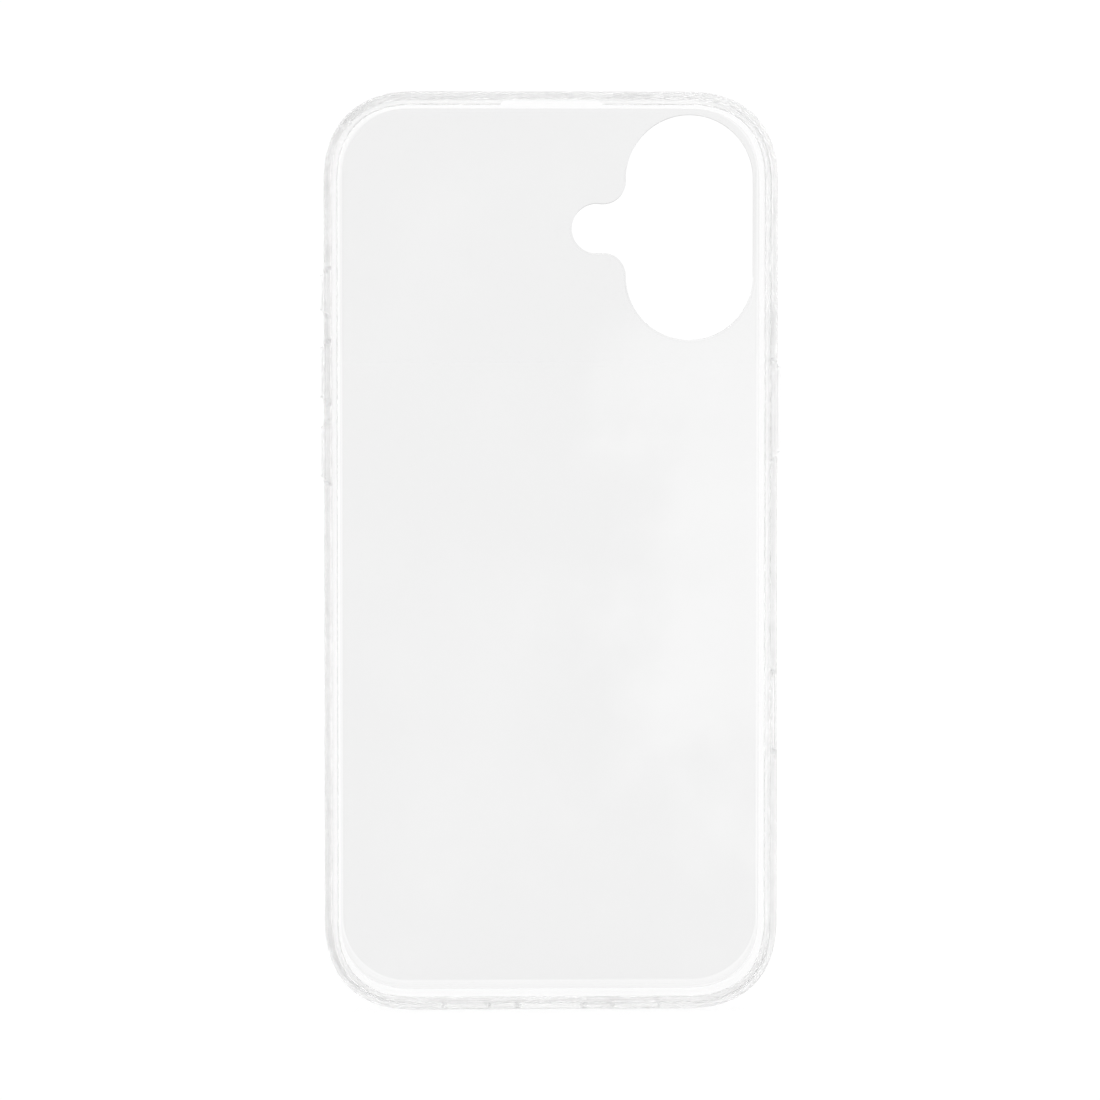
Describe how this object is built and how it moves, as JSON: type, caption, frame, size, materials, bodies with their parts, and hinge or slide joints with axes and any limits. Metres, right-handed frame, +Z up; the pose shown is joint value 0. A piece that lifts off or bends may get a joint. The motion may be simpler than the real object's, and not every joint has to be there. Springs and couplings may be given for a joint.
{
  "type": "phone case",
  "caption": "Clear phone case: a hard back plate with a camera and flash opening, held in a flexible frame with a raised front lip, wall openings and pressable side button caps.",
  "frame": {"origin": "centre of the flat inner face of the back plate, where the back of the phone lies", "axes": "+Z up the case towards its camera end, +Y out through its back, +X to the right as the open front side is looked at"},
  "size_m": [0.0754, 0.0103, 0.1502],
  "materials": {
    "clear_plate": "clear, colourless hard polycarbonate, polished",
    "clear_frame": "clear, colourless flexible thermoplastic polyurethane, glossy",
    "clear_buttons": "clear, slightly frosted plastic"
  },
  "bodies": {
    "case_shell": {"back_plate": "clear_plate", "bumper_frame": "clear_frame"},
    "action_button": {"action_button": "clear_buttons"},
    "volume_up_button": {"volume_up_button": "clear_buttons"},
    "volume_down_button": {"volume_down_button": "clear_buttons"},
    "power_button": {"power_button": "clear_buttons"}
  },
  "joints": [
    {"name": "action_press", "type": "slide", "parent": "case_shell", "child": "action_button", "axis": [1, 0, 0], "range_m": [0, 0.0003], "stiffness_N_per_m": 2000},
    {"name": "volume_up_press", "type": "slide", "parent": "case_shell", "child": "volume_up_button", "axis": [1, 0, 0], "range_m": [0, 0.0003], "stiffness_N_per_m": 2000},
    {"name": "volume_down_press", "type": "slide", "parent": "case_shell", "child": "volume_down_button", "axis": [1, 0, 0], "range_m": [0, 0.0003], "stiffness_N_per_m": 2000},
    {"name": "power_press", "type": "slide", "parent": "case_shell", "child": "power_button", "axis": [-1, 0, 0], "range_m": [0, 0.0003], "stiffness_N_per_m": 2000}
  ]
}
